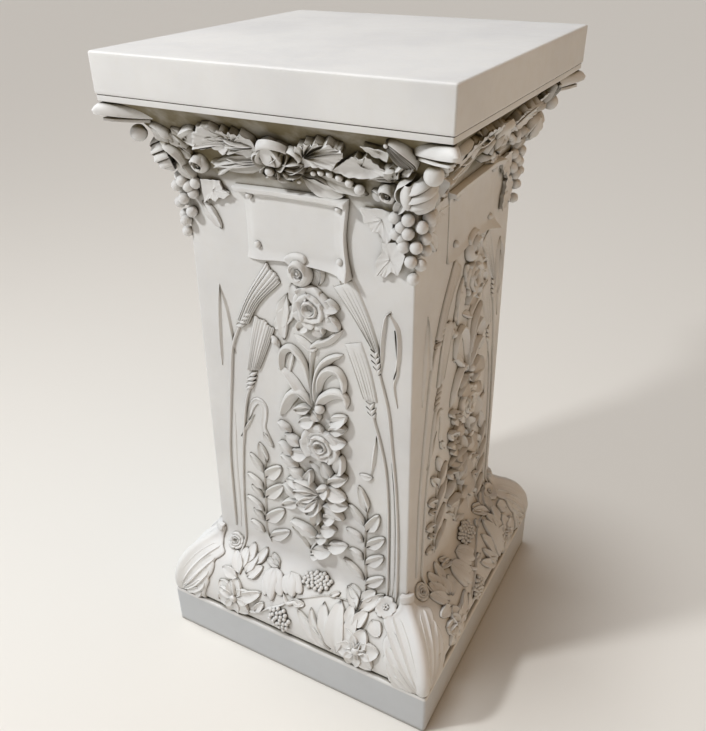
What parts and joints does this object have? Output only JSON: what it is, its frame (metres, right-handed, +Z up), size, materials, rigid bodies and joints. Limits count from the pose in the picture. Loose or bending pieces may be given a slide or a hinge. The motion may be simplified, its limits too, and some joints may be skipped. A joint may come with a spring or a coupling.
{
  "type": "statue pedestal",
  "caption": "Square tapered statue pedestal with cushion base, flared capital and plain slab top, carrying cast flowers, wheat and a blank plaque on every face.",
  "frame": {"origin": "middle of the underside of the plinth", "axes": "+Z up, -Y the front face, +X the face to its right; all four faces are alike"},
  "size_m": [0.4112, 0.4112, 0.81],
  "materials": {
    "body_cast": "matte antique ivory with an olive-brown wash in the recesses",
    "cap_cast": "matte antique ivory, smooth"
  },
  "bodies": {
    "root": {"pedestal_body": "body_cast", "cap_slab": "cap_cast"}
  },
  "joints": []
}
